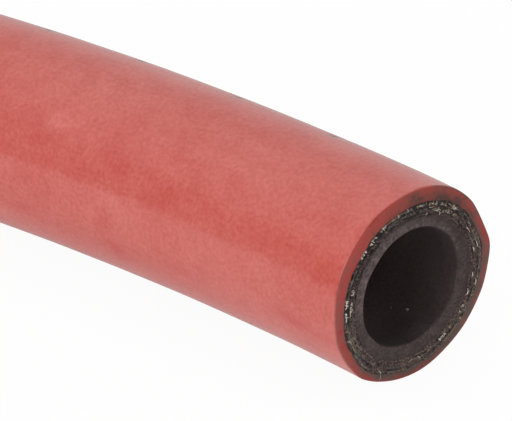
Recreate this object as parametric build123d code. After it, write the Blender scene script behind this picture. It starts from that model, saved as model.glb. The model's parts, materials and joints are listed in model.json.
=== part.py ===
"""A cut length of reinforced rubber gas hose, lying on the floor in the gentle curve it keeps from its coil.

The hose is vulcanised from three layers round one bore: a black inner tube, a black rubberised ply that
holds two rows of yarn wound in opposite hands, and a red outer cover. The core sits low in the cover, so
the cover's wall is thicker above than below. Both ends are plain square cuts, where the yarns show.

Millimetres. +Z is up, +X runs along the chord towards the near cut end, and the origin is on the floor
under the middle of the hose's box. The hose bulges towards +Y and is the same on both sides of the YZ
plane.
"""
from build123d import *
import math
import os

# Lay of the hose
hose_length = 152.4    # along the centre line, from cut to cut
end_straight = 12.7    # straight stretch behind each cut, where a fitting is pushed in
bend_radius = 230.0    # of the centre line between the two straight stretches

# Section of the hose
bore_diameter = 12.7
tube_wall = 1.3        # inner tube
cover_wall = 1.23      # mean thickness of the cover
core_drop = 0.45       # how far the bore's centre lies below the cover's centre

# Yarns in the ply
yarn_thickness = 0.6   # across the wall
yarn_width = 1.1       # round the hose, on the cut face
yarn_gap = 0.5         # rubber between two yarns of a row
ply_skin = 0.08        # rubber over, under and between the two rows
yarn_depth = 0.5       # length of yarn modelled behind the cut, measured along the hose
lay_angle = 45.0       # of the yarns to the hose, in degrees
flat_share = 0.5       # flat top and bottom of a yarn, as a share of its width

# Radii of the layers
bore_radius = bore_diameter / 2
tube_radius = bore_radius + tube_wall
ply_radius = tube_radius + 2 * yarn_thickness + 3 * ply_skin
cover_radius = ply_radius + cover_wall
inner_row_radius = tube_radius + ply_skin + yarn_thickness / 2
outer_row_radius = inner_row_radius + yarn_thickness + ply_skin

# The bend, and the places of its centre, its two seams and the two cuts on the floor plan
half_bend = (hose_length / 2 - end_straight) / bend_radius
bend_sine = math.sin(half_bend)
bend_cosine = math.cos(half_bend)
back_from_centre = bend_radius + cover_radius
front_from_centre = (bend_radius - cover_radius) * bend_cosine - end_straight * bend_sine
bend_centre_y = -(back_from_centre + front_from_centre) / 2
bend_axis = Axis((0, bend_centre_y, 0), (0, 0, 1))
seam_x = bend_radius * bend_sine
seam_y = bend_centre_y + bend_radius * bend_cosine

# Planes of the seams and the cuts. In each of them Z points out of the hose and Y points up.
near_seam = Plane(
    (seam_x, seam_y, 0),
    x_dir=(bend_sine, bend_cosine, 0),
    z_dir=(bend_cosine, -bend_sine, 0),
)
far_seam = Plane(
    (-seam_x, seam_y, 0),
    x_dir=(bend_sine, -bend_cosine, 0),
    z_dir=(-bend_cosine, -bend_sine, 0),
)
near_cut = near_seam.offset(end_straight)
far_cut = far_seam.offset(end_straight)

# The centre lines of the cover and of the core, by their places in these planes
cover_centre = Pos(Y=cover_radius)
core_centre = Pos(Y=cover_radius - core_drop)


def layer(section):
    """A layer of the hose with this section: a straight stretch at each end and the bend between them."""
    near = extrude(near_seam * section, end_straight)
    far = extrude(far_seam * section, end_straight)
    bend = revolve(near_seam * section, bend_axis, math.degrees(2 * half_bend))
    return near + bend + far


def ring(inner_radius, outer_radius):
    """The section of a layer of the core."""
    return core_centre * (Circle(outer_radius) - Circle(inner_radius))


def yarn_row(row_radius, hand):
    """The yarns of one row at both cuts. Each runs into the ply at the lay angle, to the side of its hand."""
    flat = yarn_width * flat_share / 2
    edge = yarn_width / 2
    top = yarn_thickness / 2
    outline = [(0, edge), (-top, flat), (-top, -flat), (0, -edge), (top, -flat), (top, flat)]
    section = Pos(X=row_radius) * make_face(Polyline(*outline, close=True))
    lay = math.radians(lay_angle)
    run = Vector(0, hand * math.sin(lay), -math.cos(lay))
    yarn = extrude(section, yarn_depth / math.cos(lay), dir=run)
    count = int(2 * math.pi * row_radius / (yarn_width + yarn_gap))
    turns = [Rot(Z=360 * k / count) for k in range(count)]
    places = [near_cut * core_centre, far_cut * core_centre]
    return [place * turn * yarn for place in places for turn in turns]


inner_row = yarn_row(inner_row_radius, 1)
outer_row = yarn_row(outer_row_radius, -1)

nodes = {
    "inner_tube": layer(ring(bore_radius, tube_radius)),
    "reinforcement_ply": layer(ring(tube_radius, ply_radius)) - inner_row - outer_row,
    "inner_yarns": Compound(children=inner_row),
    "outer_yarns": Compound(children=outer_row),
    "outer_cover": layer(cover_centre * Circle(cover_radius) - core_centre * Circle(ply_radius)),
}

os.makedirs("parts", exist_ok=True)
for name, shape in nodes.items():
    export_step(shape, f"parts/{name}.step")
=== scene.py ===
"""Looks of a cut length of reinforced rubber gas hose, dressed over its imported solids.

Metres, in the part's own frame. Every piece is drawn in the straight hose first, by its run (the distance
from the near cut), its side (towards the outside of the bend) and its height over the cover's centre line,
and is then laid along the hose's spline. Angles on the section run from the top towards the side.
"""

import json
import math
import random

import bpy
import numpy as np
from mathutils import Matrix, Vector, noise


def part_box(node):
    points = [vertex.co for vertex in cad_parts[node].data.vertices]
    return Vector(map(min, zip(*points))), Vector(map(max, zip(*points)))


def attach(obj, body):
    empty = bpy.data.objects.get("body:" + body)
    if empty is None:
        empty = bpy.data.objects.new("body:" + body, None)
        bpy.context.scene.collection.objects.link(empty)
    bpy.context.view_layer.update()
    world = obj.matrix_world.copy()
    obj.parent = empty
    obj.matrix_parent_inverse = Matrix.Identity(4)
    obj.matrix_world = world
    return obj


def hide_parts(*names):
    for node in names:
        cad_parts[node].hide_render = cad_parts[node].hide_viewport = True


MM = 0.001
upwards = (0, 0, 1)
backwards = (0, 1, 0)
random.seed(7)

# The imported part
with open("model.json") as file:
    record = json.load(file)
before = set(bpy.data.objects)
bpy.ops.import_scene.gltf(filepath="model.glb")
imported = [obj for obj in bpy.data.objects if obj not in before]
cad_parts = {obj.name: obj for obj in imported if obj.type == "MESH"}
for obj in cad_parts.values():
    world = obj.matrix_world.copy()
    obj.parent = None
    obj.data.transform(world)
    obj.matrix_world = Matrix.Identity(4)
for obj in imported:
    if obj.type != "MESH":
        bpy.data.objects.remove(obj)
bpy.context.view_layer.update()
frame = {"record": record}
mounts = {mount["name"]: mount for mount in frame["record"]["mounts"]}


def seat_end(seat):
    """The middle of the cut beside a mount at one end of the hose, and the way out of that end."""
    axis = Vector(seat["axis"]).normalized()
    return Vector(seat["pos_m"]) + axis * seat["dims"]["length_mm"] * MM / 2, axis


def node_radius(name):
    """The outer radius of a layer of the part, whose middle line lies level."""
    low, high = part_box(name)
    return (high.z - low.z) / 2


near_cut, near_axis = seat_end(mounts["near_clamp_seat"])
far_cut, far_axis = seat_end(mounts["far_clamp_seat"])
near_core = seat_end(mounts["near_bore"])[0] - near_cut
cover_radius = mounts["near_clamp_seat"]["dims"]["r_mm"] * MM
bore_radius = mounts["near_bore"]["dims"]["r_mm"] * MM
tube_radius = node_radius("inner_tube")
ply_radius = node_radius("reinforcement_ply")
core_side = near_core.dot(Vector(upwards).cross(near_axis))
core_height = near_core.z

# The lay of the hose: straight out of both cuts, and one easy bend between them
route_arm = 0.042
line_resolution = 64
route = [near_cut, near_cut - near_axis * route_arm, far_cut - far_axis * route_arm, far_cut]

# The two knife cuts: how far each leans out of the square towards the side and the top, and how far the
# knife wandered at the rim, in millimetres by degrees from the top
cuts = {
    "near": {
        "reach": 0.1 * MM,
        "lean": (0.042, 0.02),
        "steps": [(-165, -0.13), (-145, 0.02), (-124, 0.2), (-112, 0.12), (-98, 0.38), (-85, 0.24),
                  (-70, 0), (-45, 0), (-31, -0.2), (-12, -0.05), (22, -0.05), (42, -0.28), (60, -0.42),
                  (70, -0.1), (80, 0.3), (90, 0.22), (98, 0.06), (108, 0.12), (122, 0), (150, -0.12),
                  (170, 0)],
    },
    "far": {
        "reach": 0.0,
        "lean": (-0.018, 0.03),
        "steps": [(-150, 0.1), (-95, -0.12), (-40, 0.06), (15, -0.1), (70, 0.16), (120, -0.05)],
    },
}
step_blur = (-5, 0, 5)
# Which way along the run leads in from each cut
inward = {"near": 1, "far": -1}
# The cover's rim, its seam and the bore's lip at the near cut, in millimetres out of their circles by
# degrees from the top
rim_shape = [(-160, 0), (-150, 0.05), (-142, 0.12), (-132, -0.02), (-114, -0.08), (-100, 0), (5, 0),
             (14, -0.03), (22, -0.06), (30, -0.08), (42, -0.1), (54, -0.03), (62, -0.1), (70, -0.18),
             (75, -0.17), (82, -0.04), (95, -0.06), (120, -0.06), (135, 0.03), (150, 0)]
seam_wander = [(-180, -0.12), (-165, -0.04), (-145, 0.1), (-130, 0.1), (-120, 0), (-110, 0.1), (-95, 0.1),
               (-80, 0.02), (-65, -0.08), (-50, -0.15), (-35, -0.04), (-20, -0.1), (0, 0.03), (20, 0.08),
               (50, 0.28), (65, 0.2), (90, 0.2), (105, 0), (130, -0.1), (155, -0.12)]
bore_lip = [(-180, -0.26), (-165, -0.3), (-150, -0.13), (-140, -0.06), (-130, -0.11), (-120, 0),
            (-100, 0.06), (-80, 0.07), (-50, -0.05), (-20, 0.05), (5, 0.08), (20, 0.05), (40, -0.02),
            (50, 0.04), (60, -0.06), (72, -0.25), (100, -0.31), (118, -0.22), (130, -0.26), (148, -0.4),
            (165, -0.3)]
lip_depth = 4 * MM
seam_tear = 0.1 * MM
seam_tear_size = 0.75 * MM
# Degrees by which the wear, soil, tones, painted rim shade and shapes of the far cut are turned from those
# of the near one
far_end_turn = 130
rounding_step = math.pi / 6
sharp_angle = math.radians(50)
noise_seeds = {"cover": 3.0, "core": 5.0, "knife": 11.0, "ply": 21.0, "seam": 31.0, "drawn": 41.0}


def hose_line():
    """Points along the hose's centre line, read from its spline."""
    data = bpy.data.curves.new("hose_line", "CURVE")
    data.dimensions = "3D"
    data.resolution_u = line_resolution
    spline = data.splines.new("NURBS")
    spline.points.add(len(route) - 1)
    for point, place in zip(spline.points, route):
        point.co = (*place, 1)
    spline.order_u = 3
    spline.use_endpoint_u = True
    holder = bpy.data.objects.new("hose_line", data)
    drawn = bpy.data.meshes.new_from_object(holder)
    points = np.array([vertex.co for vertex in drawn.vertices])
    bpy.data.meshes.remove(drawn)
    bpy.data.objects.remove(holder)
    bpy.data.curves.remove(data)
    return points


line = hose_line()
line_run = np.concatenate([[0], np.cumsum(np.linalg.norm(np.diff(line, axis=0), axis=1))])
line_out = -np.gradient(line, line_run, axis=0)
far_run = line_run[-1]


def lay_out(run, side, height):
    """Places in the part's frame of points of the straight hose."""
    held = np.clip(run, 0, far_run)
    centre, out = (np.stack([np.interp(held, line_run, axis) for axis in values.T], axis=-1)
                   for values in (line, line_out))
    out /= np.linalg.norm(out, axis=-1, keepdims=True)
    aside = np.stack([-out[..., 1], out[..., 0], np.zeros_like(held)], axis=-1)
    up = np.array(upwards)
    return centre + aside * side[..., None] + up * height[..., None] + out * (held - run)[..., None]


def by_angle(pairs, degrees):
    """Values between those of these pairs of (degrees from the top, value)."""
    return np.interp(degrees, *zip(*pairs), period=360)


def stand_out(end, side, height):
    """How far a cut stands out of its square plane at these places of the section."""
    cut = cuts[end]
    angle = np.degrees(np.arctan2(side, height))
    wander = MM * sum(by_angle(cut["steps"], angle + blur) for blur in step_blur) / len(step_blur)
    reach = np.hypot(side, height) / cover_radius
    return cut["reach"] + cut["lean"][0] * side + cut["lean"][1] * height + wander * reach ** 2


def cut_run(end, side, height, proud=0.0):
    """The run of points on a cut that stand this far proud of it."""
    out = stand_out(end, side, height) + proud
    return -out if end == "near" else far_run + out


def around(count):
    """Sines and cosines of a full turn, from the top towards the side."""
    turn = np.arange(count) * 2 * math.pi / count
    return np.sin(turn), np.cos(turn)


def turn_degrees(count):
    """Degrees from the top of the points of a full turn."""
    return np.arange(count) * 360 / count


def end_degrees(end, degrees):
    """Angles by which wear, soil, tones, painted rim shade and the cuts' shapes are looked up: the far cut
    shows them at other places.
    """
    return degrees + (far_end_turn if end == "far" else 0)


def end_values(pairs, end, count):
    """Values for the points of a full turn at a cut, between those of these pairs."""
    return by_angle(pairs, end_degrees(end, turn_degrees(count)))


def wall_shape(pairs, run):
    """How far a wall stands out of its circle at this run: only near its ends, whose shapes it takes up."""
    near = MM * end_values(pairs, "near", len(run))
    far = MM * end_values(pairs, "far", len(run))
    return near * np.exp(-run / lip_depth) + far * np.exp((run - far_run) / lip_depth)


def core_place(radius, sine, cosine):
    """Side and height of points at this distance from the bore's centre line."""
    return core_side + radius * sine, core_height + radius * cosine


def core_polar(side, height):
    """Degrees from the top and distance from the bore's centre line."""
    side = side - core_side
    height = height - core_height
    return np.degrees(np.arctan2(side, height)), np.hypot(side, height)


def noise_at(first, second, third):
    """Smooth noise from about -1 to 1 at these coordinates."""
    places = zip(first.ravel(), second.ravel(), third.ravel())
    return np.array([noise.noise(Vector(place)) for place in places]).reshape(first.shape)


def roughness_field(side, height, size, seed, run=0.0):
    """Noise with features of this size, which on a cut face has no run."""
    first = np.zeros_like(side) + run / size + noise_seeds[seed]
    return noise_at(first, side / size, height / size)


def smooth_mesh(name, places, faces, slots):
    """A mesh of points of the straight hose, laid along the hose. Each face has its material slot."""
    mesh = bpy.data.meshes.new(name)
    mesh.from_pydata(lay_out(*places).tolist(), [], faces)
    mesh.polygons.foreach_set("material_index", np.array(slots, dtype=np.int32))
    mesh.polygons.foreach_set("use_smooth", np.ones(len(faces), dtype=bool))
    mesh.update()
    return mesh


def closed_mesh(name, rings, slots, **marks):
    """A tube wall whose rings run out along one face and back along the other, closed both ways.

    The marks, one for each point, are what its materials read by their names."""
    places = np.array(rings).swapaxes(0, 1)
    count, turn = places.shape[1:]
    index = np.arange(count * turn).reshape(count, turn)
    ahead = np.roll(index, -1, axis=0)
    quads = np.stack([index, ahead, np.roll(ahead, -1, axis=1), np.roll(index, -1, axis=1)], axis=-1)
    mesh = smooth_mesh(name, places.reshape(3, -1), quads.reshape(-1, 4).tolist(), np.repeat(slots, turn))
    for label, values in marks.items():
        mesh.attributes.new(label, "FLOAT", "POINT").data.foreach_set("value", np.ravel(values))
    return mesh


def add_piece(name, mesh, materials, nodes=()):
    """Links a piece of the hose into the scene."""
    piece = bpy.data.objects.new(name, mesh)
    for material in materials:
        mesh.materials.append(material)
    bpy.context.scene.collection.objects.link(piece)
    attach(piece, "root")
    if nodes:
        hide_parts(*nodes)
    return piece


# Ramps of the materials, as stops of (texture value, colour)
unchanged = (1.0, 1.0, 1.0)
cover_body = [(0.3, (0.548, 0.103, 0.083)), (0.7, (0.582, 0.131, 0.11))]
cover_blotch = [(0.34, (0.93, 0.82, 0.81)), (0.54, unchanged), (0.75, (1.01, 1.06, 1.06))]
cover_speckle = [(0.3, (0.92, 0.8, 0.8)), (0.7, (1.06, 1.2, 1.2))]
cut_body = [(0.3, (0.38, 0.05, 0.04)), (0.5, (0.465, 0.069, 0.055)), (0.7, (0.53, 0.094, 0.075))]
cut_speckle = [(0.3, (0.8, 0.76, 0.76)), (0.7, (1.15, 1.2, 1.2))]
ply_body = [(0.0, (0.007, 0.006, 0.0055)), (0.4, (0.05, 0.03, 0.028)), (0.7, (0.098, 0.059, 0.053)),
            (1.0, (0.23, 0.165, 0.137))]
# What wear does to the cover's colour, from a pale scuff to a patch rubbed bare
cover_wear = [(0.0, (1.12, 1.32, 1.38)), (0.5, unchanged), (1.0, (0.9, 0.58, 0.58))]
# The dark colour of the cover's nicks and of the painted shade along its rims, and soil on its cuts, which
# turns from grey to red between two heights
dark_nicks_and_rim_shade = (0.07, 0.03, 0.027)
grey_soil = (0.128, 0.084, 0.072)
red_soil = (0.105, 0.046, 0.037)
red_soil_span = (12 * MM, 18 * MM)
# How far noise mottles the soil and the ply's dust: from and to, and the noise's values for these
coarse_mottle = (-0.3, 0.3, 0.3, 0.7)
fine_mottle = (-0.25, 0.25, 0.25, 0.75)
dust_mottle = (-0.35, 0.35, 0.25, 0.75)
# Sizes of the textures
cover_cloud = 9 * MM
cover_patch = 2.2 * MM
cover_grain = 0.4 * MM
cut_smear = 1.8 * MM
cut_grain = 0.3 * MM
black_grain = 0.28 * MM
ply_grain = 0.2 * MM
yarn_soil = 0.5 * MM
yarn_fibre = 0.08 * MM
# Roughness, as a range where a texture varies it
cover_roughness = (0.16, 0.24)
cut_roughness = (0.5, 0.7)
black_roughness = (0.52, 0.68)
ply_roughness = 0.65
yarn_roughness = 0.75
# Depth of each bump, and its strength
cover_bump = (0.03 * MM, 0.35)
rubber_bump = (0.04 * MM, 0.4)
ply_bump = (0.04 * MM, 0.5)
yarn_bump = (0.02 * MM, 0.5)
# How much of the cover's blotches and of the two speckles shows
blotch_share = 0.7
cover_speckle_share = 0.9
cut_speckle_share = 0.7


def feed(tree, socket, value):
    """Links a socket to another one, or sets it to a colour or a number."""
    if isinstance(value, bpy.types.NodeSocket):
        tree.links.new(value, socket)
    elif isinstance(value, tuple):
        socket.default_value = (*value, 1)
    else:
        socket.default_value = value


def node(tree, kind, inputs=None, **settings):
    """A new shader node with these settings and inputs."""
    made = tree.nodes.new("ShaderNode" + kind)
    for label, value in settings.items():
        setattr(made, label, value)
    for label, value in (inputs or {}).items():
        feed(tree, made.inputs[label], value)
    return made


def new_material(name):
    """A material, its tree and the object coordinates for its textures."""
    material = bpy.data.materials.new(name)
    material.use_nodes = True
    tree = material.node_tree
    return material, tree, node(tree, "TexCoord").outputs["Object"]


def fill_shader(tree, grain, bump_values, body, roughness, specular=0.5, sheen=0.0):
    """Gives a material's shader its colour and its gloss, and a bump made from this grain."""
    depth, strength = bump_values
    bump = node(tree, "Bump", {"Distance": depth, "Strength": strength, "Height": grain})
    inputs = {"Base Color": body, "Roughness": roughness, "Specular IOR Level": specular,
              "Sheen Weight": sheen, "Normal": bump.outputs["Normal"]}
    for label, value in inputs.items():
        feed(tree, tree.nodes["Principled BSDF"].inputs[label], value)


def noise_node(tree, place, size, detail):
    """A noise texture whose features have this size."""
    return node(tree, "TexNoise", {"Scale": 1 / size, "Detail": detail, "Vector": place}).outputs["Fac"]


def ramp_node(tree, factor, stops):
    """A colour ramp with these stops of (place, colour)."""
    ramp = node(tree, "ValToRGB", {"Fac": factor})
    elements = ramp.color_ramp.elements
    for _ in stops[2:]:
        elements.new(0.5)
    for element, (position, colour) in zip(elements, stops):
        element.position = position
        element.color = (*colour, 1)
    return ramp.outputs["Color"]


def mix_node(tree, kind, factor, first, second):
    """A mix of two colours, which go in by inputs 6 and 7. All values may be sockets."""
    inputs = {0: factor, 6: first, 7: second}
    return node(tree, "Mix", inputs, data_type="RGBA", blend_type=kind).outputs[2]


def range_node(tree, value, low, high, start=0.0, stop=1.0):
    """A value from start to stop brought to the range from low to high."""
    ends = {"From Min": start, "From Max": stop, "To Min": low, "To Max": high}
    spread = node(tree, "MapRange", {**ends, "Value": value}, interpolation_type="SMOOTHSTEP")
    return spread.outputs["Result"]


def math_node(tree, kind, first, second, clamp=False):
    """The sum or the product of two values."""
    return node(tree, "Math", {0: first, 1: second}, operation=kind, use_clamp=clamp).outputs[0]


def along_node(tree, place, direction):
    """How far a place lies along this direction."""
    product = node(tree, "VectorMath", {0: place, 1: Vector(direction)}, operation="DOT_PRODUCT")
    return product.outputs["Value"]


def mark_node(tree, label="mark"):
    """The marks of the mesh with this name."""
    return node(tree, "Attribute", attribute_name=label).outputs["Fac"]


def cover_material():
    """Salmon-red vulcanised rubber, dusty and bloomed. It is worn and scuffed where its wear says, and
    darker where it is marked: in its nicks, and with painted shade along its rims.
    """
    material, tree, place = new_material("red_cover_rubber")
    cloud = noise_node(tree, place, cover_cloud, detail=3)
    patch = noise_node(tree, place, cover_patch, detail=4)
    grain = noise_node(tree, place, cover_grain, detail=3)
    body = ramp_node(tree, cloud, cover_body)
    body = mix_node(tree, "MULTIPLY", blotch_share, body, ramp_node(tree, patch, cover_blotch))
    body = mix_node(tree, "MULTIPLY", 1.0, body, ramp_node(tree, mark_node(tree, "wear"), cover_wear))
    # Darker where marked: in the nicks, and as painted shade along the rims
    body = mix_node(tree, "MIX", mark_node(tree), body, dark_nicks_and_rim_shade)
    body = mix_node(tree, "MULTIPLY", cover_speckle_share, body, ramp_node(tree, grain, cover_speckle))
    roughness = range_node(tree, patch, *cover_roughness)
    fill_shader(tree, grain, cover_bump, body, roughness)
    return material


def cut_cover_material():
    """The same rubber where the knife opened it: darker, and soiled where it is marked."""
    material, tree, place = new_material("red_cover_cut")
    smear = noise_node(tree, place, cut_smear, detail=4)
    grain = noise_node(tree, place, cut_grain, detail=4)
    upper = range_node(tree, along_node(tree, place, upwards), 0, 1, *red_soil_span)
    dirt = mix_node(tree, "MIX", upper, grey_soil, red_soil)
    coarse = range_node(tree, smear, *coarse_mottle)
    fine = range_node(tree, grain, *fine_mottle)
    soil = math_node(tree, "ADD", mark_node(tree), math_node(tree, "ADD", coarse, fine), clamp=True)
    body = mix_node(tree, "MIX", soil, ramp_node(tree, smear, cut_body), dirt)
    body = mix_node(tree, "MULTIPLY", cut_speckle_share, body, ramp_node(tree, grain, cut_speckle))
    roughness = range_node(tree, smear, *cut_roughness)
    fill_shader(tree, grain, rubber_bump, body, roughness, specular=0.2)
    return material


def black_material(name, dark, light, bloom_and_painted_light, size, speckled, specular, sheen):
    """Black rubber, mottled between two greys and speckled, and lighter where it is marked: bloomed grey on
    the lining's cut faces, painted light in its bore.
    """
    material, tree, place = new_material(name)
    cloud = noise_node(tree, place, size, detail=4)
    grain = noise_node(tree, place, black_grain, detail=3)
    body = ramp_node(tree, cloud, [(0.3, dark), (0.7, light)])
    body = mix_node(tree, "MIX", mark_node(tree), body, bloom_and_painted_light)
    speckle = ramp_node(tree, grain, [(0.3, (1 - speckled,) * 3), (0.7, (1 + speckled,) * 3)])
    body = mix_node(tree, "MULTIPLY", 1.0, body, speckle)
    roughness = range_node(tree, cloud, *black_roughness)
    fill_shader(tree, grain, rubber_bump, body, roughness, specular, sheen)
    return material


def ply_material():
    """Black rubber full of yarn dust, which is lighter where it is marked."""
    material, tree, place = new_material("black_ply_cut")
    grain = noise_node(tree, place, ply_grain, detail=4)
    dust = math_node(tree, "ADD", mark_node(tree), range_node(tree, grain, *dust_mottle))
    body = ramp_node(tree, dust, ply_body)
    fill_shader(tree, grain, ply_bump, body, ply_roughness, specular=0.25)
    return material


def yarn_material(name, dark, light):
    """Cut textile fibres."""
    material, tree, place = new_material(name)
    soil = noise_node(tree, place, yarn_soil, detail=3)
    fibre = noise_node(tree, place, yarn_fibre, detail=2)
    body = ramp_node(tree, soil, [(0.32, dark), (0.62, light)])
    fill_shader(tree, fibre, yarn_bump, body, yarn_roughness, sheen=0.2)
    return material


red_cover = cover_material()
red_cut = cut_cover_material()
tube_cut = black_material(
    "black_tube_cut", dark=(0.029, 0.0155, 0.015), light=(0.056, 0.0345, 0.0335),
    bloom_and_painted_light=(0.122, 0.086, 0.084), size=1.1 * MM, speckled=0.6, specular=0.3, sheen=0.0)
# The bore's lighter marked colour is painted light
tube_bore = black_material(
    "black_tube_bore", dark=(0.026, 0.018, 0.0175), light=(0.043, 0.0315, 0.031),
    bloom_and_painted_light=(0.175, 0.126, 0.122), size=3 * MM, speckled=0.2, specular=0.12, sheen=0.05)
ply_cut = ply_material()
pale_yarn = yarn_material("pale_yarn", dark=(0.55, 0.49, 0.4), light=(0.92, 0.88, 0.8))
tan_yarn = yarn_material("tan_yarn", dark=(0.16, 0.12, 0.075), light=(0.42, 0.33, 0.21))
soiled_yarn = yarn_material("soiled_yarn", dark=(0.04, 0.033, 0.028), light=(0.19, 0.16, 0.135))
grey_lint = yarn_material("grey_lint", dark=(0.26, 0.235, 0.22), light=(0.5, 0.45, 0.42))


# The red cover
cover_turn = 240
cover_degrees = np.degrees(np.arctan2(*around(cover_turn)))
cover_rings = 290
hidden_rings = 24
rim_rounding = 0.09 * MM
cover_face_rows = 8
wave_size = 7 * MM
wave_depth = 0.035 * MM
ripple_size = 0.9 * MM
ripple_depth = 0.03 * MM
# Nicks in the cover: run in millimetres, degrees from the top, half length in millimetres
nicks = [(14.6, 24, 0.5), (27.4, 24, 0.5), (40.3, 24, 0.45), (52.3, 24, 0.6)]
nick_degrees = 3.5
nick_depth = 0.1 * MM
# Worn places of the cover: run in millimetres, degrees from the top, half length in millimetres, half width
# in degrees, and how far they are rubbed bare, or scuffed where this is negative
patches = [(45.0, -107.5, 2.4, 4, 0.62), (31.6, -113, 1.9, 8.5, 1.0), (32.8, -93, 1.2, 9, 0.46),
           (22.2, -106.5, 2.2, 4, 0.58), (6.2, -106, 2.2, 4.5, 0.95), (1.8, -108, 2.4, 4, 0.5),
           (43.6, -55, 2.3, 9, 0.68), (32.8, -57.5, 2.2, 11, 0.58), (33.2, -31, 3.6, 10, 0.43),
           (19.8, -27, 5, 5, 0.3), (38, -80, 17, 11, -0.3), (40.4, -47, 2.1, 7, -1.0),
           (26.4, -48, 1.8, 6, -0.55)]
# How soiled the cover's near cut is at its rim and at its seam, by degrees from the top
rim_soil = [(-160, 0.65), (-140, 0.3), (-118, 0.1), (-80, 0.15), (-45, 0), (-20, 0.25), (15, 0.5),
            (60, 0.35), (100, 0.45), (120, 0.75), (165, 0.55)]
seam_soil = [(-160, 1.1), (-138, 1.25), (-122, 0.45), (-100, 0.65), (-80, 0.45), (-60, 0.3), (-40, 0.25),
             (-15, 0.6), (15, 1.0), (60, 1.1), (90, 1.2), (180, 1.1)]
# A smear on that cut: its place and half width in degrees, and as shares of the way in from the rim
smear_angle = 24
smear_width = 5
smear_share = 0.75
smear_depth = 0.3
smear_strength = 0.5
# Painted shade along the near rim: how dark the rim itself is, and how far back from it the darkening goes
rim_painted_shade = [(-160, 0.3), (-130, 0.4), (-100, 0.45), (-85, 0.3), (-60, 0.05), (-20, 0), (8, 0.2),
            (25, 0.7), (75, 0.8), (110, 0.6)]
rim_shade_width = 0.14 * MM


def soft_spot(along, place, length, across, angle, width):
    """How near points lie to the middle of a soft-edged spot, from 0 to 1."""
    return np.exp(-((along - place) / length) ** 2 - ((across - angle) / width) ** 2)


def nick_marks(run):
    """How deep in a nick each point of a ring of the outer wall lies, from 0 to 1."""
    marks = np.zeros_like(run)
    for place, angle, length in nicks:
        marks = np.maximum(marks, soft_spot(run / MM, place, length, cover_degrees, angle, nick_degrees))
    return marks


def wear_marks(run):
    """How worn each point of a ring is: 1 where rubbed bare, 0 in a scuff and 0.5 elsewhere."""
    wear = np.zeros_like(run)
    for place, angle, length, width, strength in patches:
        wear += strength * soft_spot(run / MM, place, length, cover_degrees, angle, width)
    return np.clip(0.5 + wear / 2, 0, 1)


def cover_wall(run, sine, cosine):
    """Points of the cover's outer wall, which is a little uneven and has a few nicks."""
    side = cover_radius * sine
    height = cover_radius * cosine
    swell = roughness_field(side, height, wave_size, "cover", run) * wave_depth
    swell += wall_shape(rim_shape, run) - nick_depth * nick_marks(run)
    return run, side + swell * sine, height + swell * cosine


def rim_rings(end, sine, cosine):
    """The rounded rim between a cut and the outer wall, from the cut."""
    edge = cut_run(end, cover_radius * sine, cover_radius * cosine)
    rim = cover_radius + MM * end_values(rim_shape, end, cover_turn)
    rings = []
    for step in range(4):
        bend = step * rounding_step
        radius = rim - rim_rounding * (1 - math.sin(bend))
        run = edge + inward[end] * rim_rounding * (1 - math.cos(bend))
        rings.append((run, radius * sine, radius * cosine))
    return rings


def face_rings(end, outer, inner, sine, cosine, rows, ripple):
    """Rows of a cut face between two circles of (radius, side, height), with a ripple left by the knife."""
    rings = []
    for share in np.linspace(0, 1, rows):
        radius, aside, above = (a + (b - a) * share for a, b in zip(outer, inner))
        side = aside + radius * sine
        height = above + radius * cosine
        proud = ripple * roughness_field(side, height, ripple_size, "knife")
        rings.append((cut_run(end, side, height, proud), side, height))
    return rings


def wall_rings(radius, sine, cosine, count):
    """Rings of a wall of the core, from the near cut to the far one."""
    side, height = core_place(radius, sine, cosine)
    near = cut_run("near", side, height)
    far = cut_run("far", side, height)
    return [(run, side, height) for run in np.linspace(near, far, count)]


def ply_seam(end, count):
    """The circle between ply and cover at a cut, which wanders a little and is torn."""
    sine, cosine = around(count)
    side = ply_radius * sine
    height = ply_radius * cosine
    torn = seam_tear * roughness_field(side, height, seam_tear_size, "seam")
    return ply_radius + MM * end_values(seam_wander, end, count) + torn, core_side, core_height


def soil_marks(end, share):
    """How soiled the cover's cut face is round the hose, this share of the way in from the rim."""
    degrees = end_degrees(end, turn_degrees(cover_turn))
    soil = by_angle(rim_soil, degrees) * (1 - share) + by_angle(seam_soil, degrees) * share
    smear = soft_spot(degrees, smear_angle, smear_width, share, smear_share, smear_depth)
    return soil + smear_strength * smear


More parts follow.
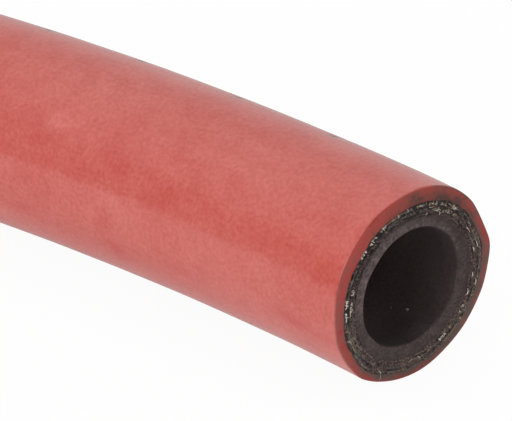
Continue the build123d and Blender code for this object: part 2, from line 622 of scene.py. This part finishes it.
def make_cover():
    sine, cosine = around(cover_turn)
    near_rim = rim_rings("near", sine, cosine)
    far_rim = rim_rings("far", sine, cosine)
    first, last = near_rim[-1][0], far_rim[-1][0]
    between = np.linspace(first + rim_shade_width, last - rim_shade_width, cover_rings - 2)
    outer = [cover_wall(run, sine, cosine) for run in (first, *between, last)]
    faces = []
    for end in cuts:
        lip = (cover_radius + MM * end_values(rim_shape, end, cover_turn) - rim_rounding, 0.0, 0.0)
        seam = ply_seam(end, cover_turn)
        faces.append(face_rings(end, lip, seam, sine, cosine, cover_face_rows, ripple_depth)[1:])
    near_face, far_face = faces
    inner = wall_rings(ply_radius, sine, cosine, hidden_rings)[1:-1]
    rings = near_rim[:-1] + outer + far_rim[-2::-1] + far_face + inner[::-1] + near_face[::-1]
    wall = len(near_rim) + cover_rings + len(far_rim) - 3
    slots = [0] * wall + [1] * (len(rings) - wall)
    # The rims take painted shade, the outer wall the dark of its nicks, and the cut faces their soil
    marks = [end_values(rim_painted_shade, "near", cover_turn)] * len(near_rim)
    marks += [nick_marks(ring[0]) for ring in outer[1:-1]]
    marks += [end_values(rim_painted_shade, "far", cover_turn)] * len(far_rim)
    marks += [soil_marks("far", share) for share in np.linspace(0, 1, len(far_face))]
    marks += [np.zeros(cover_turn)] * len(inner)
    marks += [soil_marks("near", share) for share in np.linspace(1, 0, len(near_face))]
    wear = [wear_marks(ring[0]) for ring in rings]
    mesh = closed_mesh("cover_wall", rings, slots, mark=marks, wear=wear)
    mesh.set_sharp_from_angle(angle=sharp_angle)
    return add_piece("cover_wall", mesh, [red_cover, red_cut], ["outer_cover"])


# The black core
tube_turn = 480
bore_rings = 70
tube_face_rows = 14
bore_rounding = 0.16 * MM
tube_ripple = 0.025 * MM
core_wave_size = 4 * MM
bore_wave_depth = 0.03 * MM
# The grey bloom on the lining's near cut: how strong it is, and how far it reaches in millimetres
tube_bloom = [(-170, 0.2), (-140, 0.28), (-105, 0.15), (-88, 0.95), (-40, 0.95), (0, 0.65), (40, 0.55),
              (65, 0.4), (85, 0.1)]
bloom_reach = [(-180, 1.4), (-105, 1.2), (-85, 1.3), (-10, 1.3), (25, 0.75), (65, 0.45), (90, 1.0)]
# How it fades away from the bore, and how much of it is streaks
bloom_start = 1.4
least_bloom = 0.1
bloom_share = 0.9
# Painted light in the bore: how much lies behind its lips, by degrees from the top, and between which
# depths it thickens
lip_painted_light = [(-170, 0), (-90, 0), (0, 0.08), (60, 0.13), (85, 0.18), (105, 0.18), (125, 0.16),
             (160, 0.07)]
deep_painted_light = (1.5 * MM, 10 * MM)
streaks_in_radian = 13
streak_length = 2.5 * MM
streak_seed = 4.0
ply_turn = 720
ply_face_rows = 24
ply_sink = 0.02 * MM
ply_tear = 0.12 * MM
ply_tear_size = 0.45 * MM
yarn_ripple = 0.07 * MM
ply_streak = 1.6 * MM
ply_streak_width = 0.13 * MM
# How light the ply's near cut is, and how much its streaks change that
ply_tone = [(-180, 0.6), (-110, 0.6), (-85, 0.32), (-50, 0.2), (-15, 0.25), (20, 0.36), (60, 0.42),
            (85, 0.56), (150, 0.6)]
streak_tone = 0.55
# How far the knife drew the lining's rubber over the ply in millimetres, how light it is, and its torn edge
drawn_rubber = [(-180, 0.2), (-90, 0.3), (-60, 0.15), (-10, 0.15), (40, 0.2), (120, 0.3)]
drawn_tone = [(-180, 0.6), (-120, 0.74), (-85, 0.64), (-50, 0.5), (15, 0.42), (50, 0.38), (90, 0.5),
              (150, 0.6)]
drawn_tear = 0.25 * MM
drawn_tear_size = 0.5 * MM
drawn_fade = 0.12 * MM


def knife_streaks(side, height):
    """Streaks that the knife drew across the lining, from about -1 to 1."""
    degrees, radius = core_polar(side, height)
    across = np.radians(degrees) * streaks_in_radian
    return noise_at(across, radius / streak_length, np.full_like(radius, streak_seed))


def bloom_marks(end, ring):
    """How grey the lining's cut face is: streaked, and greyest beside the bore."""
    degrees, radius = core_polar(ring[1], ring[2])
    degrees = end_degrees(end, degrees)
    reach = by_angle(bloom_reach, degrees) * MM
    fade = np.clip(bloom_start - (radius - bore_radius) / reach, least_bloom, 1)
    streaked = bloom_share * (1 + knife_streaks(ring[1], ring[2]))
    return np.clip(by_angle(tube_bloom, degrees) * fade * streaked, 0, 1)


def bore_wall(sine, cosine):
    """Rings of the bore, which is a little uneven and takes up the shape of its lips near the cuts."""
    rings = []
    for run, side, height in wall_rings(bore_radius, sine, cosine, bore_rings)[1:-1]:
        swell = bore_wave_depth * roughness_field(side, height, core_wave_size, "core", run)
        swell += wall_shape(bore_lip, run)
        rings.append((run, side + swell * sine, height + swell * cosine))
    return rings


def bore_light_marks(ring):
    """How much painted light a ring of the bore takes: more deep inside it."""
    run, side, height = ring
    depth = np.minimum(run, far_run - run)
    share = np.clip((depth - deep_painted_light[0]) / (deep_painted_light[1] - deep_painted_light[0]), 0, 1)
    share = share * share * (3 - 2 * share)
    return share + (1 - share) * by_angle(lip_painted_light, core_polar(side, height)[0])


def make_tube():
    sine, cosine = around(tube_turn)
    outer = wall_rings(tube_radius, sine, cosine, hidden_rings)
    bore = bore_wall(sine, cosine)
    seam = (tube_radius, core_side, core_height)
    faces = []
    rounding = []
    for end in cuts:
        lip = bore_radius + MM * end_values(bore_lip, end, tube_turn)
        edge = (lip + bore_rounding, core_side, core_height)
        faces.append(face_rings(end, seam, edge, sine, cosine, tube_face_rows, tube_ripple)[1:])
        rings = []
        for step in (1, 2, 3):
            bend = step * rounding_step
            radius = lip + bore_rounding * (1 - math.sin(bend))
            side, height = core_place(radius, sine, cosine)
            run = cut_run(end, side, height) + inward[end] * bore_rounding * (1 - math.cos(bend))
            rings.append((run, side, height))
        rounding.append(rings)
    near_face, far_face = faces
    rings = outer + far_face + rounding[1] + bore[::-1] + rounding[0][::-1] + near_face[::-1]
    slots = [1] * (len(outer) + len(far_face) + 2) + [0] * (len(bore) + 2) + [1] * (len(near_face) + 2)
    marks = [np.zeros(tube_turn)] * len(outer)
    marks += [bloom_marks("far", ring) for ring in far_face]
    # The bore and its rounded lips take painted light
    marks += [bore_light_marks(ring) for ring in rounding[1] + bore[::-1] + rounding[0][::-1]]
    marks += [bloom_marks("near", ring) for ring in near_face[::-1]]
    mesh = closed_mesh("lining", rings, slots, mark=marks)
    mesh.set_sharp_from_angle(angle=sharp_angle)
    return add_piece("lining", mesh, [tube_bore, tube_cut], ["inner_tube"])


def yarn_streaks(side, height):
    """Streaks along the yarns in the ply's cut, from about -1 to 1."""
    radius = core_polar(side, height)[1]
    return noise_at(side / ply_streak, height / ply_streak, radius / ply_streak_width)


def ply_marks(end, side, height, streaks):
    """How light the ply's cut face is: streaked, and with the lining's rubber drawn over its inner edge."""
    degrees, radius = core_polar(side, height)
    degrees = end_degrees(end, degrees)
    torn = drawn_tear * roughness_field(side, height, drawn_tear_size, "drawn")
    edge = tube_radius + by_angle(drawn_rubber, degrees) * MM + torn
    drawn = np.clip((edge - radius) / drawn_fade, 0, 1)
    tone = by_angle(ply_tone, degrees) + streak_tone * streaks
    return np.clip(tone * (1 - drawn) + by_angle(drawn_tone, degrees) * drawn, 0, 1)


def make_ply():
    sine, cosine = around(ply_turn)
    outer = wall_rings(ply_radius, sine, cosine, hidden_rings)[1:-1]
    inner = wall_rings(tube_radius, sine, cosine, hidden_rings)[1:-1]
    faces = []
    tones = []
    for end in cuts:
        seam = ply_seam(end, ply_turn)[0]
        rings = []
        marks = []
        for share in np.linspace(0, 1, ply_face_rows):
            radius = seam + (tube_radius - seam) * share
            side, height = core_place(radius, sine, cosine)
            streaks = yarn_streaks(side, height)
            torn = roughness_field(side, height, ply_tear_size, "ply")
            proud = -ply_sink + ply_tear * torn + yarn_ripple * streaks
            rings.append((cut_run(end, side, height, proud), side, height))
            marks.append(ply_marks(end, side, height, streaks))
        faces.append(rings)
        tones.append(marks)
    rings = outer + faces[1] + inner[::-1] + faces[0][::-1]
    bare = np.zeros(ply_turn)
    marks = [bare] * len(outer) + tones[1] + [bare] * len(inner) + tones[0][::-1]
    mesh = closed_mesh("ply_rubber", rings, [0] * len(rings), mark=marks)
    return add_piece("ply_rubber", mesh, [ply_cut], ["reinforcement_ply"])


# The yarns, as the filaments of their strands, which take one of three materials
pale, tan, soiled = range(3)
yarns_in_row = {"inner_yarns": 31, "outer_yarns": 34}
row_share = {"inner_yarns": 0.42, "outer_yarns": 0.83}
row_hand = {"inner_yarns": 1, "outer_yarns": -1}
first_yarn = math.pi / 2
strands_in_yarn = 3
strand_pitch = 0.36 * MM
strand_radius = 0.13 * MM
filaments_in_strand = 14
filament_radius = 0.034 * MM
filament_sides = 5
filament_root = 0.35 * MM
filament_knee = 0.1 * MM
tip_share = 0.7
# How far a cut filament stands proud in millimetres, the share that stands out more, and by how much
filament_proud = (0.0, 0.16)
long_share = 0.08
long_proud = (0.05, 0.2)
# How far its tip bends across and along the row in millimetres, and the share that has its strand's colour
tip_bend = 0.06
tip_turn = 0.07
like_share = 0.85
# Thickness of the filaments of a strand, an arc and a curl, as ranges of shares
strand_thickness = (0.75, 1.2)
arc_thickness = (0.8, 1.2)
curl_thickness = (0.6, 0.9)
arc_step = 0.25 * MM
# How filaments along the cut lie, in millimetres
arc_lift = (0.04, 0.12)
arc_spread = 0.08
arc_sway = 0.04
arc_bob = (-0.06, 0.05)
arc_band = {"inner_yarns": (8.0, 8.5), "outer_yarns": (8.6, 9.1)}
# Strands that lie along the near cut: radius in millimetres, from and to in degrees, material, filaments
near_arcs = {
    "inner_yarns": [(8.4, 60, 66, 0, 1), (8.3, 64, 80, 2, 3), (8.2, 76, 81, 0, 1), (8.25, 97, 102, 0, 1),
                    (8.05, 109, 115, 0, 1), (8.3, 120, 140, 2, 2), (8.3, 150, 175, 2, 2),
                    (8.4, -178, -158, 2, 2), (8.3, -146, -118, 2, 3), (8.45, -128, -98, 2, 3),
                    (8.4, -24, -2, 2, 2), (8.35, -92, -83, 0, 1)],
    "outer_yarns": [(9.15, 49, 58, 2, 2), (8.95, 58, 63, 0, 1), (8.75, 66, 78, 2, 3), (8.65, 72, 79, 0, 1),
                    (8.85, 84, 98, 2, 2), (8.75, 102, 107, 0, 1), (8.8, 108, 128, 2, 3),
                    (8.9, 132, 150, 1, 1), (8.85, 155, 178, 2, 2), (8.8, -176, -152, 2, 2),
                    (8.9, -143, -131, 0, 1), (8.8, -146, -121, 2, 3), (8.65, -122, -100, 1, 2),
                    (8.75, -112, -94, 2, 2), (8.8, -72, -56, 2, 2), (8.9, -24, -8, 1, 1),
                    (8.85, -94, -87, 0, 1), (8.85, -85, -79, 0, 1)],
}
# Strands along the far cut: how many, their span in degrees, the materials to draw from, filaments
far_arc_count = 6
far_arc_span = (12, 28)
far_arc_slots = (pale, tan, soiled, soiled)
far_arc_filaments = 2
# Frayed curls: how many, where in degrees, the materials to draw from, their reach in millimetres, and how
# they rise and bend over along their length
curls_in_row = 14
curl_span = {"near": (4, 44), "far": (-160, -90)}
curl_slots = (pale, tan, tan)
curl_reach = (0.2, 0.5)
curl_shares = (0.0, 0.35, 0.7, 1.0)
curl_bend = 1.5
curl_root = -0.05
curl_rise = 0.5
curl_top = 1.3
# A hair on the near cut: radius in millimetres, degrees from the top, millimetres it stands proud
hair_points = [(8.9, -154, 0.0), (9.1, -154, 0.2), (9.35, -154.5, 0.26), (9.6, -155, 0.16)]
hair_radius = 0.03 * MM
# Dust in the bore: millimetres in and off the bore's wall, degrees from the top, size in millimetres
dust = [(5.6, 0.08, 151, 0.14), (3.8, 0.14, 146, 0.26), (0.05, 0.22, 97, 0.12)]
speck_shares = (-0.6, 0.0, 0.7)
speck_droop = 0.02 * MM
# Where the cut strands are clean: from and to, in degrees, and the shares of pale and tan strands
clean_spans = {
    "inner_yarns": [(-91, -71, 1, 0), (8, 26, 0.14, 0.45), (27, 44, 0.32, 0.3), (60, 84, 0.15, 0.25),
                    (96, 118, 0.12, 0.25), (127, 133, 0.3, 0.4), (143, 151, 0.35, 0.3)],
    "outer_yarns": [(-93, -78, 1, 0), (-52, -39, 0.9, 0.1), (-38, -24, 0.75, 0.2), (-22, -3, 0.1, 0.35),
                    (-2, 26, 0.12, 0.45), (28, 44, 0.35, 0.3), (45, 84, 0.12, 0.25), (98, 114, 0.2, 0.3),
                    (115, 152, 0.08, 0.3)],
}
other_shares = (0.04, 0.14)


class FibreMesh:
    """Gathers thin tubes of the straight hose into one mesh."""

    def __init__(self, name):
        self.name = name
        self.places, self.faces, self.slots = [], [], []

    def add(self, points, radius, slot):
        """A tube along points of (run, side, height), closed at both ends and drawn in at the last."""
        points = [Vector(point) for point in points]
        first = len(self.places)
        for k, point in enumerate(points):
            ahead = (points[min(k + 1, len(points) - 1)] - points[max(k - 1, 0)]).normalized()
            across = ahead.orthogonal().normalized()
            beside = ahead.cross(across)
            size = radius * (tip_share if k == len(points) - 1 else 1.0)
            for turn in range(filament_sides):
                angle = 2 * math.pi * turn / filament_sides
                self.places.append(point + (across * math.cos(angle) + beside * math.sin(angle)) * size)
        for k in range(len(points) - 1):
            low = first + k * filament_sides
            for turn in range(filament_sides):
                after = (turn + 1) % filament_sides
                quad = (turn, after, after + filament_sides, turn + filament_sides)
                self.faces.append(tuple(low + corner for corner in quad))
        last = first + (len(points) - 1) * filament_sides
        self.faces.append(tuple(range(last, last + filament_sides)))
        self.faces.append(tuple(range(first + filament_sides - 1, first - 1, -1)))
        self.slots += [slot] * (len(self.faces) - len(self.slots))

    def mesh(self):
        return smooth_mesh(self.name, np.array(self.places).T, self.faces, self.slots)


def face_point(end, radius, angle, proud):
    """A point of the straight hose by its place on the core's cut face."""
    side, height = core_place(radius, math.sin(angle), math.cos(angle))
    return float(cut_run(end, np.array(side), np.array(height), proud)), side, height


def strand_slot(row, angle):
    """Which yarn material a strand takes. Most are soiled; the clean ones stand together."""
    degrees = (math.degrees(angle) + 180) % 360 - 180
    pale_share, tan_share = other_shares
    for low, high, *shares in clean_spans[row]:
        if low <= degrees <= high:
            pale_share, tan_share = shares
    draw = random.random()
    if draw < pale_share:
        return pale
    return tan if draw < pale_share + tan_share else soiled


def add_strand(fibres, end, row, radius, angle):
    """One strand's cut end: a bundle of filaments that lean with the yarn's lay."""
    slot = strand_slot(row, angle)
    lean = row_hand[row] * inward[end]
    for _ in range(filaments_in_strand):
        bearing = random.uniform(0, 2 * math.pi)
        spread = strand_radius * math.sqrt(random.random())
        spot = radius + spread * math.sin(bearing)
        turn = angle + spread * math.cos(bearing) / radius
        proud = random.uniform(*filament_proud) * MM
        if random.random() < long_share:
            proud += random.uniform(*long_proud) * MM
        root = face_point(end, spot, turn + lean * filament_root / radius, -filament_root)
        middle = face_point(end, spot, turn, -filament_knee)
        bend_out = random.uniform(-tip_bend, tip_bend) * MM
        bend_turn = random.uniform(-tip_turn, tip_turn) * MM / radius
        tip = face_point(end, spot + bend_out, turn + bend_turn, proud)
        pick = slot if random.random() < like_share else soiled
        fibres.add([root, middle, tip], filament_radius * random.uniform(*strand_thickness), pick)


def add_arc(fibres, end, radius, start, stop, slot, count):
    """Filaments of a strand that the knife left lying along the cut, between two angles in degrees."""
    steps = max(3, round(math.radians(abs(stop - start)) * radius / arc_step))
    for _ in range(count):
        lift = random.uniform(*arc_lift) * MM
        spot = radius + random.uniform(-arc_spread, arc_spread) * MM
        points = []
        for k in range(steps + 1):
            turn = math.radians(start + (stop - start) * k / steps)
            sway = random.uniform(-arc_sway, arc_sway) * MM
            points.append(face_point(end, spot + sway, turn, lift + random.uniform(*arc_bob) * MM))
        points[0] = face_point(end, spot, math.radians(start), -filament_knee)
        points[-1] = face_point(end, spot, math.radians(stop), -filament_knee)
        fibres.add(points, filament_radius * random.uniform(*arc_thickness), slot)


def add_curl(fibres, end, radius, angle, slot):
    """A frayed filament that stands out of the cut and bends over."""
    heading = random.uniform(0, 2 * math.pi)
    reach = random.uniform(*curl_reach) * MM
    points = []
    for share in curl_shares:
        spot = radius + reach * share ** curl_bend * math.cos(heading)
        turn = angle + reach * share ** curl_bend * math.sin(heading) / radius
        proud = (curl_root + curl_rise * share * (curl_top - share)) * MM
        points.append(face_point(end, spot, turn, proud))
    fibres.add(points, filament_radius * random.uniform(*curl_thickness), slot)


def far_arcs(row):
    """Strands that lie along the far cut, spread about at random."""
    arcs = []
    for _ in range(far_arc_count):
        start = random.uniform(-180, 180)
        radius = random.uniform(*arc_band[row])
        stop = start + random.uniform(*far_arc_span)
        arcs.append((radius, start, stop, random.choice(far_arc_slots), far_arc_filaments))
    return arcs


def make_yarns(row):
    """Both cut ends of one row of yarns."""
    fibres = FibreMesh(row + "_cut")
    radius = tube_radius + (ply_radius - tube_radius) * row_share[row]
    for end in cuts:
        for yarn in range(yarns_in_row[row]):
            middle = inward[end] * first_yarn + 2 * math.pi * yarn / yarns_in_row[row]
            for strand in range(strands_in_yarn):
                offset = (strand - (strands_in_yarn - 1) / 2) * strand_pitch
                add_strand(fibres, end, row, radius, middle + offset / radius)
        arcs = near_arcs[row] if end == "near" else far_arcs(row)
        for spot, start, stop, slot, count in arcs:
            add_arc(fibres, end, spot * MM, start, stop, slot, count)
        for _ in range(curls_in_row):
            turn = math.radians(random.uniform(*curl_span[end]))
            spot = random.uniform(*arc_band[row]) * MM
            add_curl(fibres, end, spot, turn, random.choice(curl_slots))
    return add_piece(row + "_cut", fibres.mesh(), [pale_yarn, tan_yarn, soiled_yarn], [row])


def make_lint():
    """A loose hair on the near cut, and specks of dust in the bore behind it."""
    lint = FibreMesh("lint")
    hair = [face_point("near", spot * MM, math.radians(angle), proud * MM)
            for spot, angle, proud in hair_points]
    lint.add(hair, hair_radius, 0)
    for depth, off_wall, angle, size in dust:
        turn = math.radians(angle)
        side, height = core_place(bore_radius - off_wall * MM, math.sin(turn), math.cos(turn))
        speck = [((depth + k * size) * MM, side, height - abs(k) * speck_droop) for k in speck_shares]
        lint.add(speck, size * MM / 2, 0)
    return add_piece("lint", lint.mesh(), [grey_lint])


# The stage: paper that the camera sees as white. Gloss mirrors it darker behind the hose, with some of its
# glow before the hose, and dark past its front edge
floor_half = 15.0
floor_glow = 0.95
floor_paper = (0.96, 0.96, 0.96)
mirrored_paper = (0.7, 0.7, 0.7)
mirrored_glow = 0.36
behind_span = (-0.01, 0.03)
paper_ahead = (-0.25, 1, 0)
paper_edge = (-0.102, -0.077)
# The room: bright paper behind and above, and a dark front
paper_light = (0.76, 0.76, 0.76)
front_light = (0.06, 0.06, 0.06)
front_span = (-0.35, 0.05)
low_span = (0.25, 0.55)
# Lamps over the hose: name, place, width, depth and watts
lamps = [("top_softbox", (-0.1, 0.1, 1.1), 1.6, 1.6, 2),
         ("front_softbox", (-0.22, -1.05, 0.42), 1.0, 0.5, 6.3)]
lamp_aim = (0, 0, 0)
# The photo's camera
camera_place = (0.27531, -0.37456, 0.2325)
camera_aim = (0.06014, -0.01094, 0.01654)
camera_sensor = 36.0
camera_lens = 342.83
camera_clip = (0.01, 50.0)


def mix_shaders(tree, factor, first, second):
    """A mix of two shaders. The factor may be a socket or a value."""
    return node(tree, "MixShader", {0: factor, 1: first, 2: second}).outputs[0]


def floor_material():
    """White paper with a faint shadow, and what gloss sees of it."""
    material, tree, place = new_material("white_floor")
    tree.nodes.remove(tree.nodes["Principled BSDF"])
    path = node(tree, "LightPath")
    glossy = path.outputs["Is Glossy Ray"]
    across = along_node(tree, place, backwards)
    ahead = along_node(tree, place, paper_ahead)
    mirrored = math_node(tree, "MULTIPLY", glossy, range_node(tree, across, 0, 1, *behind_span))
    past_edge = math_node(tree, "MULTIPLY", glossy, range_node(tree, ahead, 1, 0, *paper_edge))
    on_paper = math_node(tree, "MULTIPLY", glossy, range_node(tree, ahead, 0, 1, *paper_edge))
    in_front = range_node(tree, across, mirrored_glow, 0, *behind_span)
    glowing = math_node(tree, "MULTIPLY", on_paper, in_front)
    sheet = mix_node(tree, "MIX", mirrored, floor_paper, mirrored_paper)
    sheet = mix_node(tree, "MIX", past_edge, sheet, front_light)
    paper = node(tree, "BsdfDiffuse", {"Color": sheet}).outputs[0]
    shown = mix_shaders(tree, floor_glow, paper, node(tree, "Emission").outputs[0])
    bright = math_node(tree, "ADD", path.outputs["Is Camera Ray"], glowing)
    seen = mix_shaders(tree, bright, paper, shown)
    tree.links.new(seen, tree.nodes["Material Output"].inputs["Surface"])
    return material


def make_floor():
    mesh = bpy.data.meshes.new("floor")
    corners = [(x * floor_half, y * floor_half, 0) for x, y in ((-1, -1), (1, -1), (1, 1), (-1, 1))]
    mesh.from_pydata(corners, [], [(0, 1, 2, 3)])
    mesh.materials.append(floor_material())
    floor = bpy.data.objects.new("floor", mesh)
    bpy.context.scene.collection.objects.link(floor)


def make_world():
    """The room, which the camera sees as white."""
    world = bpy.data.worlds.new("studio")
    bpy.context.scene.world = world
    world.use_nodes = True
    tree = world.node_tree
    room = tree.nodes["Background"]
    white = node(tree, "Background", {"Color": (1, 1, 1)})
    path = node(tree, "LightPath")
    heading = node(tree, "TexCoord").outputs["Generated"]
    front = range_node(tree, along_node(tree, heading, backwards), 1, 0, *front_span)
    low = range_node(tree, along_node(tree, heading, upwards), 1, 0, *low_span)
    sky = mix_node(tree, "MIX", math_node(tree, "MULTIPLY", front, low), paper_light, front_light)
    tree.links.new(sky, room.inputs["Color"])
    seen = mix_shaders(tree, path.outputs["Is Camera Ray"], room.outputs[0], white.outputs[0])
    tree.links.new(seen, tree.nodes["World Output"].inputs["Surface"])


def put(thing, place, aim):
    """Links a lamp or a camera into the scene at this place, turned to its aim."""
    thing.location = place
    thing.rotation_euler = (Vector(aim) - Vector(place)).to_track_quat("-Z", "Y").to_euler()
    bpy.context.scene.collection.objects.link(thing)


def add_light(name, place, width, depth, energy):
    """A soft rectangular lamp."""
    data = bpy.data.lights.new(name, "AREA")
    data.shape = "RECTANGLE"
    data.size = width
    data.size_y = depth
    data.energy = energy
    put(bpy.data.objects.new(name, data), place, lamp_aim)


def make_camera():
    data = bpy.data.cameras.new("photo_camera")
    data.sensor_width = camera_sensor
    data.lens = camera_lens
    data.clip_start, data.clip_end = camera_clip
    camera = bpy.data.objects.new("photo_camera", data)
    put(camera, camera_place, camera_aim)
    bpy.context.scene.camera = camera


bpy.context.scene.view_settings.view_transform = "Standard"
make_camera()
make_world()
make_floor()
for lamp in lamps:
    add_light(*lamp)

cover = make_cover()
lining = make_tube()
ply = make_ply()
yarns = [make_yarns(row) for row in yarns_in_row]
lint = make_lint()
